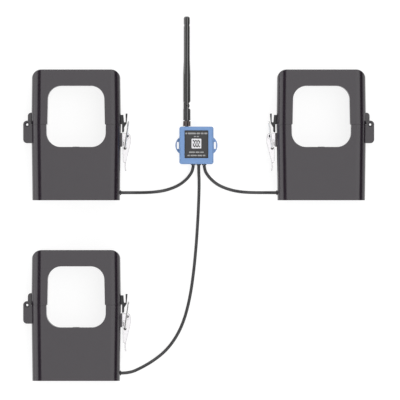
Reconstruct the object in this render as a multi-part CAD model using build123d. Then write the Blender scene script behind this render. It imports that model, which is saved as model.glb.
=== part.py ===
from build123d import *
import os
from math import cos, pi, radians, sin, sqrt, tan

# Three-phase current meter: three hinged split-core current transformers wired to one radio gateway.
#
# The set lies on a bench, seen from above as it is used in a catalogue view. +X runs to the right, +Y away
# from the viewer and +Z up. The origin is on the bench under the middle of the set. All sizes are in
# millimetres.
#
# Each transformer is drawn once in its own frame: x towards the latch, y from the foot to the jaw, z out of
# the front face, with its origin at the middle of the foot. Transformers a and b lie on their backs, and
# transformer c lies on its front, which turns its latch towards the gateway.

# Layout of the set on the bench
phase_spacing = 430.4          # between the centre lines of transformers a and c
upper_foot_y = -3.5            # foot of transformers a and c
lower_foot_y = -320.4          # foot of transformer b
gateway_x = -4.0               # centre line of the gateway
gateway_top_y = 126.0          # gateway edge that carries the antenna

# Fits
joint_gap = 0.3                # between pieces that move past or lie against each other
pin_gap = 0.03                 # radial, between a pin and its hole
head_gap = 0.1                 # radial, round a sunk screw head
overshoot = 1.0                # how far a cut runs past the face that it opens

# Transformer housing
foot_width = 153.5
split_width = 157.0
top_width = 154.5
housing_depth = 54.0
base_height = 133.0            # foot to the split between base and jaw
jaw_height = 96.5
edge_radius = 16.5             # long vertical edges
crown_radius = 16.5            # top corners, seen from the front
rim_round = 2.0
wall = 3.0
pole_frame = 4.0               # wall in the split plane, round the core's poles

# Window for the conductor
window_drop = 39.4             # floor below the split
base_window = 104.4            # width at the split, base side
base_window_low = 103.4        # width at its floor
jaw_window = 101.2             # width at the split, jaw side
jaw_window_high = 98.4         # width at its roof
base_window_radius = 25.0
jaw_window_radius = 24.0
gate_mark_width = 12.0
gate_mark_height = 0.5

# Laminated core and its winding
core_gap = 0.775               # between the core's sides and the walls beside it
core_corner = 20.0
jaw_yoke_gap = 1.2             # between the window roof's wall and the jaw yoke
crown_gap = 4.35               # between the jaw yoke and the crown's wall
yoke_drop = 46.6               # base yoke below the window floor, which leaves room for the board
bobbin_length = 84.0
bobbin_wall = 1.5
bobbin_flange = 2.0
bobbin_margin = 0.6            # flange beyond the winding
bobbin_gap = 1.8               # between the flanges and the housing walls
winding_depth = 6.8

# Ribs that hold the cores
rib_thickness = 2.5
rib_drops = (75.0, 21.0)       # base ribs below the split
rib_rises = (17.0, 47.0)       # jaw ribs above the split
yoke_rib_x = 30.0

# Burden board
board_width = 62.0
board_margin = 6.0             # between the board and the bobbin below it or the window wall above it
board_thickness = 1.6
board_standoff = 7.0           # middle of the board from the rear wall
board_post = 4.0
board_post_x = 26.0
resistor_size = (9.0, 6.0, 4.0)
resistor_x = (-13.5, -1.5)
terminal_size = (12.0, 12.0, 9.0)
terminal_x = 18.0
part_sink = 0.2                # board parts are drawn this far into their board

# Foot cover and its two screws
cover_thickness = 3.0
cover_gap = 0.2
screw_x = 50.0
screw_boss = 8.0
screw_boss_length = 14.0
boss_sink = 0.5                # how far a boss runs into the wall beside it
screw_radius = 1.5
screw_head_radius = 2.8
screw_head_height = 1.6
screw_length = 11.0
head_sink = 0.2                # screw heads lie this far below the face
core_post_x = 47.0
core_post_width = 5.0

# Hinge on the far side from the latch. Places are out from the wall and up from the split.
hinge_reach = 7.5
knuckle_radius = 6.9
hinge_block_reach = 6.8        # from the hinge's centre line
hinge_block_drop = 32.7
hinge_block_radius = 6.5
hinge_leaf_reach = 6.4
hinge_leaf_rise = 20.9
hinge_leaf_radius = 5.6
ear_inner = 8.0                # base ears lie between these two distances from the mid plane
ear_outer = 16.0
hinge_pin_radius = 3.0
hinge_pin_bore = 2.2
hinge_pin_head = 3.9
hinge_pin_head_height = 0.8

# Toggle latch. Places are out from the wall and up from the split.
pad_height = 2.3               # moulded pad under the bracket
pad_rises = (-39.0, -14.6)
pad_margin = 1.2               # pad beyond the bracket
sheet = 1.5                    # stainless sheet
bracket_rises = (-37.0, -15.0)
bracket_ear_low = -27.5
lever_pivot = (11.3, -20.2)
lever_half_depth = 7.8         # the antenna, folded to this side, passes below the swung-out link
lever_hub_radius = 5.5
link_hole = (-3.9, -21.4)      # from the lever's pivot
lever_back = [(-5.3, 0.0), (-6.4, -15.8), (-8.2, -19.8), (-7.6, -42.8), (-6.4, -46.8)]
lever_belly = [(-2.8, -46.8), (6.0, -11.8), (6.4, -4.8)]
lever_brow = (4.8, 2.2)
tab_root = -44.8               # from the lever's pivot
tab_bend = -54.1
tab_tip = -61.1
tab_thickness = 2.0
tab_lean = 0.6
tab_x = -3.9
tab_margin = 1.0               # lever beyond the tab on each side
lever_pin_radius = 1.6
lever_pin_head = 2.6
lever_pin_head_height = 0.5
rivet_radius = 1.8
rivet_head = 3.2
rivet_head_height = 1.0
rivet_rises = (-33.8, -19.8)
link_wire_radius = 1.25
link_wire_sides = 12
link_side_gap = 0.45           # between the link's arms and the pin's heads
link_length = 47.0
link_bend = 3.2                # centre-line radius of the wire's bends
link_lean = 7.45               # degrees outwards from straight up, unhooked

# Keeper moulded for the jaw
keeper_side_gap = 1.75         # between the keeper and the link's arms
keeper_rise = 17.0
tongue_drop = 13.6
tongue = (2.0, 5.8)            # inner and outer face below the split
tongue_bevel = (1.2, 2.0)
root_drop = 5.0                # where the hook starts to widen
notch_rise = 4.0
notch = (5.5, 8.5)             # the wire drops between these when the latch is hooked
notch_round = 1.2
notch_lip = 2.0
horn_rise = 19.3
horn_root = 10.1
horn_tip = 11.7
horn_thickness = 3.4
keeper_lean = 1.4              # the keeper's top is this much nearer to the wall than the tongue's face

# Cable and its grommets
cable_radius = 2.75
cable_sides = 8
cable_exit_y = 13.4            # above the foot
grommet_radius = 4.2
grommet_neck = 3.4
grommet_flange = 1.8
grommet_lip = 1.2

# Gateway box
gateway_width = 60.0
gateway_height = 66.0
gateway_corner = 4.0
gateway_front_round = 3.0
gateway_back_edge = 0.8
gateway_wall = 2.4
lid_depth = 9.0
lid_lip = 1.4
lid_lip_depth = 2.2
ear_radius = 17.5
ear_reach = 7.0                # beyond the side wall
ear_thickness = 3.0
slot_width = 3.8
slot_length = 12.8
slot_reach = 2.7               # slot centre beyond the side wall
label_width = 42.0
label_height = 49.0
label_rise = 2.0               # above the middle of the box
label_recess = 0.8
label_thickness = 0.6
label_corner = 1.0
lead_pitch = 9.5
lead_z = 9.0                   # height of the cable exits
box_board_side_gap = 1.6       # between the circuit board and the side walls
box_board_end_gap = 2.1        # between the circuit board and the end walls
box_board_z = 5.4
box_post = 4.6
box_post_gap = (1.2, 1.8)      # between the posts and the side and end walls
box_screw_length = 13.0
lead_terminal = (7.2, 7.5, 8.0)
lead_terminal_inset = 3.0
radio_size = (12.0, 8.0, 3.0)
radio_place = (-14.0, -11.0)
capacitor_size = (7.0, 5.0, 4.0)
capacitor_place = (13.5, -11.5)
cell_radius = 7.25
cell_length = 25.0
cell_nub_radius = 2.75
cell_nub = 1.2
cell_gap = 0.5                 # between the two cells
cell_low_y = 2.6               # centre of the lower cell above the middle of the box
cell_headroom = 1.6
holder_wall = 1.2
holder_floor = 1.2
holder_rise = 1.0              # holder's walls above the cells' centre lines

# Antenna, with heights above the gateway's wall
antenna_offset = -16.9         # from the gateway's centre line
antenna_clearance = 0.5        # below the antenna
barrel_radius = 3.1
barrel_bore = 1.9
barrel_bore_depth = 4.0
barrel_flange = 4.2            # corner radius of the hexagonal flange
barrel_flange_thickness = 1.6
barrel_reach = 8.0
nut_radius = 6.5
nut_height = 8.8
nut_ridges = 24
ridge_depth = 0.4
nut_start = 0.9
swivel_start = 11.0
swivel_chamfer = 0.5
swivel_neck_radius = 4.4
antenna_radius = 6.5
antenna_pivot = 36.6
antenna_length = 194.0
antenna_knuckle = 4.9
tongue_half_depth = 2.5
neck_step = 1.0                # the tongue's neck is narrower than its knuckle by this on each side
tilt_pin_radius = 1.25
tilt_pin_inset = 1.2           # pin ends below the surface
notch_reach = 3.2              # the notch beside the knuckle is cut to here from the axis
base_notch = (-6.6, -4.1)      # its slanted side on the base, from the pivot
whip_notch = (8.2, 4.3)        # its slanted side on the whip, from the pivot
taper_rises = (56.4, 80.9)     # from the pivot
upper_radius = 5.5
groove_from_tip = 17.5
tip_groove_width = 3.8
tip_groove_depth = 0.6
tip_round = 3.8

# Places and sizes worked out from the ones above
jaw_top = base_height + jaw_height
jaw_low = base_height + joint_gap
split_half = split_width / 2
mid_height = housing_depth / 2
core_outer = min(foot_width, split_width, top_width) / 2 - wall - core_gap
core_inner = max(base_window, base_window_low, jaw_window, jaw_window_high) / 2 + wall + core_gap
core_width = core_outer - core_inner
pole_centre = (core_outer + core_inner) / 2
bobbin_outer = joint_gap + bobbin_wall     # from the yoke to the bobbin's outer face
bobbin_build = bobbin_outer + winding_depth + bobbin_margin
core_depth = housing_depth - 2 * (wall + bobbin_gap + bobbin_build)
window_floor = base_height - window_drop
window_roof = jaw_top - 2 * wall - crown_gap - core_width - jaw_yoke_gap
base_yoke_y = window_floor - yoke_drop - core_width
yoke_middle = base_yoke_y + core_width / 2
board_low = base_yoke_y + core_width + bobbin_build + board_margin
board_high = window_floor - wall - board_margin
board_y = (board_low + board_high) / 2
board_z = -(mid_height - wall - board_standoff)
screw_z = mid_height - wall - screw_boss / 2 + boss_sink
hinge_x = -split_half - hinge_reach
bracket_half_depth = lever_half_depth + sheet + joint_gap
link_half_depth = bracket_half_depth + lever_pin_head_height + link_side_gap + link_wire_radius
keeper_half_depth = link_half_depth - link_wire_radius - keeper_side_gap
latch_frame = Pos(split_half, base_height)
board_top = box_board_z + board_thickness
cell_pitch = 2 * cell_radius + cell_gap
cell_z = board_top + holder_floor + joint_gap + cell_radius
gateway_depth = cell_z + cell_radius + cell_headroom + gateway_wall
gateway_parting = gateway_depth - lid_depth
box_board_width = gateway_width - 2 * (gateway_wall + box_board_side_gap)
box_board_height = gateway_height - 2 * (gateway_wall + box_board_end_gap)
box_post_x = gateway_width / 2 - gateway_wall - box_post_gap[0] - box_post / 2
box_post_y = gateway_height / 2 - gateway_wall - box_post_gap[1] - box_post / 2
antenna_z = max(nut_radius, antenna_radius) + antenna_clearance
tip_groove = antenna_length - groove_from_tip
phase_frames = {
    "a": Location((-phase_spacing / 2, upper_foot_y, mid_height)),
    "b": Location((-phase_spacing / 2, lower_foot_y, mid_height)),
    "c": Location((phase_spacing / 2, upper_foot_y, mid_height), (0, 180, 0)),
}
gateway_y = gateway_top_y - gateway_height / 2
gateway_frame = Location((gateway_x, gateway_y, 0))
antenna_frame = Location((gateway_x + antenna_offset, gateway_top_y, antenna_z))


def block(x, y, z):
    """A box between three pairs of limits."""
    size = (x[1] - x[0], y[1] - y[0], z[1] - z[0])
    middle = (sum(x) / 2, sum(y) / 2, sum(z) / 2)
    return Pos(*middle) * Box(*size)


def plate(outline, z):
    """A flat outline in the x-y plane, given its thickness between two heights."""
    return extrude(Plane.XY.offset(z[0]) * outline, z[1] - z[0], dir=(0, 0, 1))


def standing_block(place, size):
    """A box of a given size that stands on a place given by its middle."""
    x, y, z = place
    return block((x - size[0] / 2, x + size[0] / 2), (y - size[1] / 2, y + size[1] / 2), (z, z + size[2]))


def rod_z(x, y, radius, z):
    """A round rod along z."""
    return Pos(x, y, sum(z) / 2) * Cylinder(radius, z[1] - z[0])


def rod_y(x, z, radius, y):
    """A round rod along y."""
    return Pos(x, sum(y) / 2, z) * Rot(90, 0, 0) * Cylinder(radius, y[1] - y[0])


def rod_x(y, z, radius, x):
    """A round rod along x."""
    return Pos(sum(x) / 2, y, z) * Rot(0, 90, 0) * Cylinder(radius, x[1] - x[0])


def bent_rod(path, radius, sides):
    """A rod of many flat sides along a path of straight runs and tangent arcs."""
    start = Plane(origin=path @ 0, z_dir=path % 0)
    return sweep(start * RegularPolygon(radius, sides), path=path)


def mirrored(shape):
    """The shape and its twin on the other side of the mid plane."""
    return [shape, mirror(shape, Plane.XY)]


# Housing forms shared by the base and the jaw

def half_width(y):
    """Half of the housing's width at one height above the foot."""
    if y <= base_height:
        return (foot_width + (split_width - foot_width) * y / base_height) / 2
    return (split_width + (top_width - split_width) * (y - base_height) / jaw_height) / 2


def housing_prism(low, high, inset):
    """The housing between two heights with sharp edges, inset by a wall where one is asked for."""
    outline = Polygon(
        (inset - half_width(low), low),
        (half_width(low) - inset, low),
        (half_width(high) - inset, high),
        (inset - half_width(high), high),
        align=None,
    )
    prism = plate(outline, (inset - mid_height, mid_height - inset))
    middle = (low + high) / 2
    long_edges = prism.edges().filter_by(lambda e: abs(e.center().Y - middle) < 1 and abs(e.center().X) > 1)
    return prism, long_edges


def housing_body(low, high):
    """The closed form between two heights, with rounded long edges."""
    prism, long_edges = housing_prism(low, high, 0)
    return fillet(long_edges, edge_radius)


def housing_hollow(low, high):
    """The hollow in it, bevelled just far enough to keep a full wall under the rounded edges."""
    prism, long_edges = housing_prism(low, high, wall)
    return chamfer(long_edges, (2 - sqrt(2)) * (edge_radius - wall))


def base_window_outline(grow=0.0):
    """The base's part of the window, open upwards, grown by a wall where one is asked for."""
    low = window_floor - grow
    high = base_height + overshoot
    outline = Polygon(
        (-base_window_low / 2 - grow, low),
        (base_window_low / 2 + grow, low),
        (base_window / 2 + grow, high),
        (-base_window / 2 - grow, high),
        align=None,
    )
    return fillet(outline.vertices().sort_by(Axis.Y)[:2], base_window_radius + grow)


def jaw_window_outline(grow=0.0):
    """The jaw's part of the window, open downwards."""
    low = jaw_low - overshoot
    high = window_roof + grow
    outline = Polygon(
        (-jaw_window / 2 - grow, low),
        (jaw_window / 2 + grow, low),
        (jaw_window_high / 2 + grow, high),
        (-jaw_window_high / 2 - grow, high),
        align=None,
    )
    return fillet(outline.vertices().sort_by(Axis.Y)[-2:], jaw_window_radius + grow)


def jaw_front_outline(inset=0.0):
    """The jaw seen from the front, with its rounded crown."""
    half = split_half + overshoot - inset
    top_half = top_width / 2 - inset
    outline = Polygon(
        (-half, jaw_low - overshoot),
        (half, jaw_low - overshoot),
        (top_half, jaw_top - inset),
        (-top_half, jaw_top - inset),
        align=None,
    )
    return fillet(outline.vertices().sort_by(Axis.Y)[-2:], crown_radius - inset)


def jaw_envelope():
    """The closed outer form of the jaw, which the shells and the keeper are cut from and against."""
    body = housing_body(jaw_low, jaw_top)
    body &= plate(jaw_front_outline(), (-housing_depth, housing_depth))
    rim = body.faces().sort_by(Axis.Y)[-1].edges().filter_by(Axis.X)
    return fillet(rim, rim_round)


# Laminated core

def core_outline(low, high, yoke_low, yoke_high, corner):
    """A U of laminated strip: two poles and a yoke between two heights."""
    outer = pole_centre + core_width / 2
    inner = pole_centre - core_width / 2
    outline = Rectangle(2 * outer, high - low)
    outline = Pos(0, (low + high) / 2) * outline
    hollow_low = yoke_high if yoke_low == low else low - overshoot
    hollow_high = high + overshoot if yoke_low == low else yoke_low
    hollow = Pos(0, (hollow_low + hollow_high) / 2) * Rectangle(2 * inner, hollow_high - hollow_low)
    ends = outline.vertices().sort_by(Axis.Y)
    outline = fillet(ends[:2] if yoke_low == low else ends[-2:], corner)
    yoke_end = hollow.vertices().sort_by(Axis.Y)
    hollow = fillet(yoke_end[:2] if yoke_low == low else yoke_end[-2:], corner - core_width / 2)
    return outline - hollow


def base_core():
    """U core of the base, poles flush with the split."""
    outline = core_outline(base_yoke_y, base_height, base_yoke_y, base_yoke_y + core_width, core_corner)
    return plate(outline, (-core_depth / 2, core_depth / 2))


def jaw_core():
    """U core of the jaw, poles flush with the jaw's split face."""
    yoke_low = window_roof + wall + jaw_yoke_gap
    yoke_high = yoke_low + core_width
    outline = core_outline(jaw_low, yoke_high, yoke_low, yoke_high, core_corner)
    return plate(outline, (-core_depth / 2, core_depth / 2))


def pole_opening(side, y):
    """The hole in the split wall that one pole of the core comes through."""
    half = core_width / 2 + joint_gap
    x = side * pole_centre
    depth = core_depth / 2 + joint_gap
    return block((x - half, x + half), y, (-depth, depth))


def pole_ribs(heights):
    """Ribs on the front and rear walls that hold the faces of the core's poles."""
    ribs = []
    half = core_width / 2
    depth = (core_depth / 2 + joint_gap, housing_depth)
    for x in (-pole_centre, pole_centre):
        for y in heights:
            ribs += mirrored(block((x - half, x + half), (y, y + rib_thickness), depth))
    return ribs


# Base of a transformer

def hinge_outline():
    """Side view of the base ear: a bored knuckle on a block that runs down the wall."""
    left = hinge_x - hinge_block_reach
    low = base_height - hinge_block_drop
    inside = -split_half + wall / 2
    block_outline = Polygon(
        (left, base_height),
        (left, low),
        (inside, low),
        (inside, base_height - overshoot),
        (hinge_x, base_height - overshoot),
        align=None,
    )
    corner = block_outline.vertices().sort_by(Axis.Y)[:2].sort_by(Axis.X)[0]
    block_outline = fillet(corner, hinge_block_radius)
    knuckle = Pos(hinge_x, base_height) * Circle(knuckle_radius)
    return block_outline + knuckle - Pos(hinge_x, base_height) * Circle(hinge_pin_radius + pin_gap)


def base_ears():
    """Two ears that carry the hinge pin, joined by a web below the jaw's leaf."""
    outline = hinge_outline()
    ears = mirrored(plate(outline, (ear_inner, ear_outer)))
    web = plate(outline, (-ear_inner, ear_inner))
    web -= rod_z(hinge_x, base_height, knuckle_radius + 2 * joint_gap, (-ear_inner, ear_inner))
    web -= block(
        (hinge_x - 2 * knuckle_radius, hinge_x + knuckle_radius + joint_gap),
        (base_height - joint_gap, base_height + 2 * knuckle_radius),
        (-ear_inner, ear_inner),
    )
    return ears + [web]


def base_hollow():
    """The space inside the base, with its ribs, bosses and posts left standing."""
    hollow = housing_hollow(-overshoot, base_height - pole_frame)
    hollow -= plate(base_window_outline(wall), (-housing_depth, housing_depth))
    posts = pole_ribs([base_height - drop for drop in rib_drops])
    half = screw_boss / 2
    for x, z in screw_places():
        height = (cover_thickness + cover_gap, screw_boss_length)
        posts.append(block((x - half, x + half), height, (z - half, z + half)))
    rear = board_z - board_thickness / 2 + mid_height
    for x in (-board_post_x, board_post_x):
        posts.append(standing_block((x, board_y, -mid_height), (board_post, board_post, rear)))
    for post in posts:
        hollow -= post
    return hollow


def base_housing():
    """Lower housing: one moulding, open at the foot, with the lower part of the window."""
    body = housing_body(0, base_height) - base_hollow()
    body -= plate(base_window_outline(), (-housing_depth, housing_depth))
    body -= extrude(cover_outline(0), cover_thickness + cover_gap)
    body += gate_mark()
    body += base_ears()
    half = bracket_half_depth + pad_margin
    body += latch_frame * block((-wall, pad_height), pad_rises, (-half, half))
    for side in (-1, 1):
        body -= pole_opening(side, (base_height - pole_frame - overshoot, base_height + overshoot))
    for x, z in screw_places():
        body -= rod_y(x, z, screw_radius + pin_gap, (0, screw_length + overshoot))
    for rise in rivet_rises:
        body -= latch_frame * rod_x(rise, 0, rivet_radius + pin_gap, (-2 * wall, pad_height + overshoot))
    body -= rod_x(cable_exit_y, 0, grommet_neck, (foot_width / 2 - 2 * wall, split_half + overshoot))
    return body


def gate_mark():
    """A low moulded mark in the middle of the window floor."""
    mark = block(
        (-gate_mark_width / 2, gate_mark_width / 2),
        (window_floor - wall / 2, window_floor + gate_mark_height),
        (wall - mid_height, mid_height - wall),
    )
    top = mark.faces().sort_by(Axis.Y)[-1].edges().filter_by(Axis.Z)
    return chamfer(top, 0.9 * gate_mark_height)


def screw_places():
    """Two opposite corners of the foot, where the cover's screws are."""
    return [(-screw_x, -screw_z), (screw_x, screw_z)]


def cover_outline(gap):
    """Outline of the rebate in the foot and, with a gap, of the cover that drops into it."""
    plane = Plane(origin=(0, 0, 0), x_dir=(1, 0, 0), z_dir=(0, 1, 0))
    inset = wall / 2 + gap
    return plane * RectangleRounded(foot_width - 2 * inset, housing_depth - 2 * inset, edge_radius - inset)


def base_cover():
    """Cover of the foot, with two posts that hold the core up against the split."""
    cover = extrude(cover_outline(cover_gap), cover_thickness)
    for x in (-core_post_x, core_post_x):
        cover += block(
            (x - core_post_width / 2, x + core_post_width / 2),
            (cover_thickness / 2, base_yoke_y - joint_gap),
            (-core_depth / 2, core_depth / 2),
        )
    for x, z in screw_places():
        cover -= rod_y(x, z, screw_radius + head_gap, (-overshoot, cover_thickness + overshoot))
        cover -= rod_y(x, z, screw_head_radius + head_gap, (-overshoot, head_sink + screw_head_height))
    return cover


def screw(length):
    """A screw along z, head down, with the head's outer face at z = 0."""
    shank = Pos(0, 0, (length + screw_head_height) / 2) * Cylinder(screw_radius, length - screw_head_height)
    return shank + Pos(0, 0, screw_head_height / 2) * Cylinder(screw_head_radius, screw_head_height)


def base_screws():
    """The screws that hold the foot cover."""
    length = screw_length - head_sink
    return [Pos(x, head_sink, z) * Rot(-90, 0, 0) * screw(length) for x, z in screw_places()]


def yoke_sleeve(inner, outer, reach):
    """A rectangular sleeve round the base yoke, between two clearances from it."""
    sizes = [(core_width / 2 + gap, core_depth / 2 + gap) for gap in (inner, outer)]
    sleeve = block((-reach, reach), (-sizes[1][0], sizes[1][0]), (-sizes[1][1], sizes[1][1]))
    bore = block((-2 * reach, 2 * reach), (-sizes[0][0], sizes[0][0]), (-sizes[0][1], sizes[0][1]))
    return sleeve, bore


def coil_bobbin():
    """Rectangular bobbin round the base yoke, with a flange at each end."""
    half = bobbin_length / 2
    flange, bore = yoke_sleeve(joint_gap, bobbin_build, half)
    waist, tube = yoke_sleeve(bobbin_outer, 2 * bobbin_build, half - bobbin_flange)
    return Pos(0, yoke_middle, 0) * (flange - (waist - tube) - bore)


def coil():
    """Secondary winding on the bobbin, with its corners drawn in."""
    reach = bobbin_length / 2 - bobbin_flange
    winding, bore = yoke_sleeve(bobbin_outer, bobbin_outer + winding_depth, reach)
    winding = chamfer(winding.edges().filter_by(Axis.X), winding_depth / 2)
    return Pos(0, yoke_middle, 0) * (winding - bore)


def burden_board():
    """Small board with the burden resistors and the terminals for the cable."""
    front = board_z + board_thickness / 2
    board = block(
        (-board_width / 2, board_width / 2),
        (board_low, board_high),
        (board_z - board_thickness / 2, front),
    )
    for x in resistor_x:
        board += standing_block((x, board_y, front - part_sink), resistor_size)
    board += standing_block((terminal_x, board_y, front - part_sink), terminal_size)
    return board


def grommet(wall_thickness):
    """A rubber grommet along z, with its flange on the outside of a wall that ends at z = 0."""
    inside = -wall_thickness - grommet_lip - joint_gap
    length = grommet_flange - inside
    body = Pos(0, 0, inside + length / 2) * Cylinder(grommet_neck - pin_gap, length)
    body += Pos(0, 0, grommet_flange / 2) * Cylinder(grommet_radius, grommet_flange)
    body += Pos(0, 0, inside + grommet_lip / 2) * Cylinder(grommet_radius, grommet_lip)
    return body


def ct_grommet():
    """Grommet where the cable leaves the base, seated on the wall's widest point under its flange."""
    return Pos(half_width(cable_exit_y + grommet_radius), cable_exit_y, 0) * Rot(0, 90, 0) * grommet(wall)


def ct_exit():
    """Where the cable meets its grommet, in the transformer's frame."""
    return (half_width(cable_exit_y + grommet_radius) + grommet_flange, cable_exit_y, 0)


def hinge_pin():
    """Hollow rivet that the jaw turns on. It can be seen through from the front."""
    end = ear_outer + hinge_pin_head_height
    profile = Polygon(
        (hinge_pin_bore, -end),
        (hinge_pin_head, -end),
        (hinge_pin_head, -ear_outer),
        (hinge_pin_radius, -ear_outer),
        (hinge_pin_radius, ear_outer),
        (hinge_pin_head, ear_outer),
        (hinge_pin_head, end),
        (hinge_pin_bore, end),
        align=None,
    )
    return Pos(hinge_x, base_height) * revolve(Plane.XZ * profile, Axis.Z)


# Jaw of a transformer

def jaw_leaf():
    """The jaw's leaf of the hinge, between the ears of the base."""
    depth = ear_inner - joint_gap
    outside = -split_half - hinge_leaf_reach
    inside = -split_half + wall / 2
    leaf = Polygon(
        (outside, base_height),
        (inside, jaw_low),
        (inside, base_height + hinge_leaf_rise),
        (outside, base_height + hinge_leaf_rise),
        align=None,
    )
    corner = leaf.vertices().sort_by(Axis.Y)[-2:].sort_by(Axis.X)[0]
    leaf = fillet(corner, hinge_leaf_radius)
    leaf += Pos(hinge_x, base_height) * Circle(knuckle_radius)
    leaf -= Pos(hinge_x, base_height) * Circle(hinge_pin_radius + pin_gap)
    return plate(leaf, (-depth, depth))


def jaw_shells():
    """Front and rear shell of the jaw, welded along the mid plane."""
    through = (-housing_depth, housing_depth)
    hollow = housing_hollow(jaw_low + pole_frame, jaw_top - wall)
    hollow &= plate(jaw_front_outline(wall), through)
    hollow -= plate(jaw_window_outline(wall), through)
    ribs = pole_ribs([base_height + rise for rise in rib_rises])
    for x in (-yoke_rib_x, yoke_rib_x):
        half = rib_thickness / 2
        depth = (core_depth / 2 + joint_gap, housing_depth)
        ribs += mirrored(block((x - half, x + half), (window_roof, jaw_top), depth))
    for rib in ribs:
        hollow -= rib
    body = jaw_envelope() - hollow - plate(jaw_window_outline(), through)
    body += jaw_leaf()
    for side in (-1, 1):
        body -= pole_opening(side, (jaw_low - overshoot, jaw_low + pole_frame + overshoot))
    reach = 2 * split_width
    front = body & block((-reach, reach), (0, reach), (0, housing_depth))
    rear = body & block((-reach, reach), (0, reach), (-housing_depth, 0))
    return front, rear


def keeper():
    """Hook that the latch wire pulls on, with a tongue that hides the split."""
    outline = Polygon(
        (-wall, 2 * joint_gap),
        (tongue[0], 2 * joint_gap),
        (tongue[0], -tongue_drop),
        (tongue[1] - tongue_bevel[0], -tongue_drop),
        (tongue[1], tongue_bevel[1] - tongue_drop),
        (tongue[1], -root_drop),
        (horn_root, notch_rise - notch_lip),
        (horn_tip, horn_rise),
        (horn_tip - horn_thickness, horn_rise),
        (notch[1], notch_rise + notch_lip),
        (notch[1], notch_rise),
        (notch[0], notch_rise),
        (tongue[1] - keeper_lean, keeper_rise),
        (-wall, keeper_rise),
        align=None,
    )
    floor = outline.vertices().filter_by(lambda v: abs(v.Y - notch_rise) < notch_round / 2)
    hook = plate(fillet(floor, notch_round), (-keeper_half_depth, keeper_half_depth))
    return latch_frame * hook - jaw_envelope()


# Toggle latch, drawn out from the wall and up from the split

def latch_bracket():
    """Stainless bracket riveted to the base, with two ears for the lever's pin."""
    back = pad_height
    half = bracket_half_depth
    bracket = block((back, back + sheet), bracket_rises, (-half, half))
    x, y = lever_pivot
    high = bracket_rises[1]
    ear = Polygon((back, bracket_ear_low), (x, bracket_ear_low), (x, high), (back, high), align=None)
    ear += Pos(x, y) * Circle(high - y)
    ear -= Pos(x, y) * Circle(lever_pin_radius + pin_gap)
    bracket += mirrored(plate(ear, (half - sheet, half)))
    for rise in rivet_rises:
        bracket -= rod_x(rise, 0, rivet_radius + pin_gap, (back - overshoot, back + sheet + overshoot))
    return latch_frame * bracket


def latch_rivets():
    """Two rivets through the bracket into the base."""
    face = pad_height + sheet
    rivets = []
    for rise in rivet_rises:
        rivet = rod_x(rise, 0, rivet_radius, (-wall, face))
        rivets.append(latch_frame * (rivet + rod_x(rise, 0, rivet_head, (face, face + rivet_head_height))))
    return rivets


def lever_pin():
    """Pin of the lever, headed outside the bracket's ears."""
    end = bracket_half_depth + lever_pin_head_height
    pin = rod_z(*lever_pivot, lever_pin_radius, (-end, end))
    for head in mirrored(rod_z(*lever_pivot, lever_pin_head, (bracket_half_depth, end))):
        pin += head
    return latch_frame * pin


def lever_outline(inset=0.0):
    """Side view of the lever from its pivot: deep at its hub and drawn down to its tab."""
    belly = [(x - inset, y) for x, y in lever_belly]
    brow = (lever_brow[0] - inset, lever_brow[1] - inset)
    outline = Polygon(*lever_back, *belly, brow, (0, lever_hub_radius - inset), align=None)
    return outline + Circle(lever_hub_radius - inset)


def latch_lever():
    """Pressed stainless lever: a channel with two pivots and a thumb tab."""
    lever = plate(lever_outline(), (-lever_half_depth, lever_half_depth))
    reach = lever_half_depth - sheet
    hollow = plate(lever_outline(sheet), (-reach, reach))
    hollow += plate(Pos(-2 * sheet, -sheet) * lever_outline(sheet), (-reach, reach))
    lever -= hollow
    tab = Polygon(
        (tab_x - tab_lean, tab_root),
        (tab_x - tab_lean + tab_thickness, tab_root),
        (tab_x + tab_thickness / 2, tab_bend),
        (tab_x + tab_thickness, tab_tip),
        (tab_x, tab_tip),
        (tab_x - tab_thickness / 2, tab_bend),
        align=None,
    )
    lever += plate(tab, (tab_margin - lever_half_depth, lever_half_depth - tab_margin))
    for place, radius in (((0, 0), lever_pin_radius), (link_hole, link_wire_radius)):
        lever -= rod_z(*place, radius + pin_gap, (-2 * lever_half_depth, 2 * lever_half_depth))
    return latch_frame * Pos(*lever_pivot) * lever


def latch_link():
    """Wire link: two arms, a cross bar for the keeper and turned-in ends in the lever."""
    up = Vector(sin(radians(link_lean)), cos(radians(link_lean)), 0)
    foot = Vector(lever_pivot[0] + link_hole[0], lever_pivot[1] + link_hole[1], 0)
    top = foot + up * link_length
    side = Vector(0, 0, link_half_depth)
    inner = Vector(0, 0, lever_half_depth - sheet - joint_gap)
    points = [foot - inner, foot - side, top - side, top + side, foot + side, foot + inner]
    path = FilletPolyline(*points, radius=link_bend)
    return latch_frame * bent_rod(path, link_wire_radius, link_wire_sides)


# Free cables

def cable_tube(name, points):
    """A round cable along straight runs joined by arcs as large as the runs allow."""
    turns = []
    for before, here, after in zip(points, points[1:], points[2:]):
        arrive, leave = here - before, after - here
        turn = arrive.get_angle(leave)
        turns.append(0.45 * min(arrive.length, leave.length) / tan(radians(turn) / 2))
    path = FilletPolyline(*points, radius=turns)
    tube = bent_rod(path, cable_radius, cable_sides)
    section = cable_sides / 2 * cable_radius**2 * sin(2 * pi / cable_sides)
    lengths = f"length {path.length:.1f} by volume {tube.volume / section:.1f}"
    print(name, "radii", [round(radius) for radius in turns], lengths)
    return tube


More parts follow.
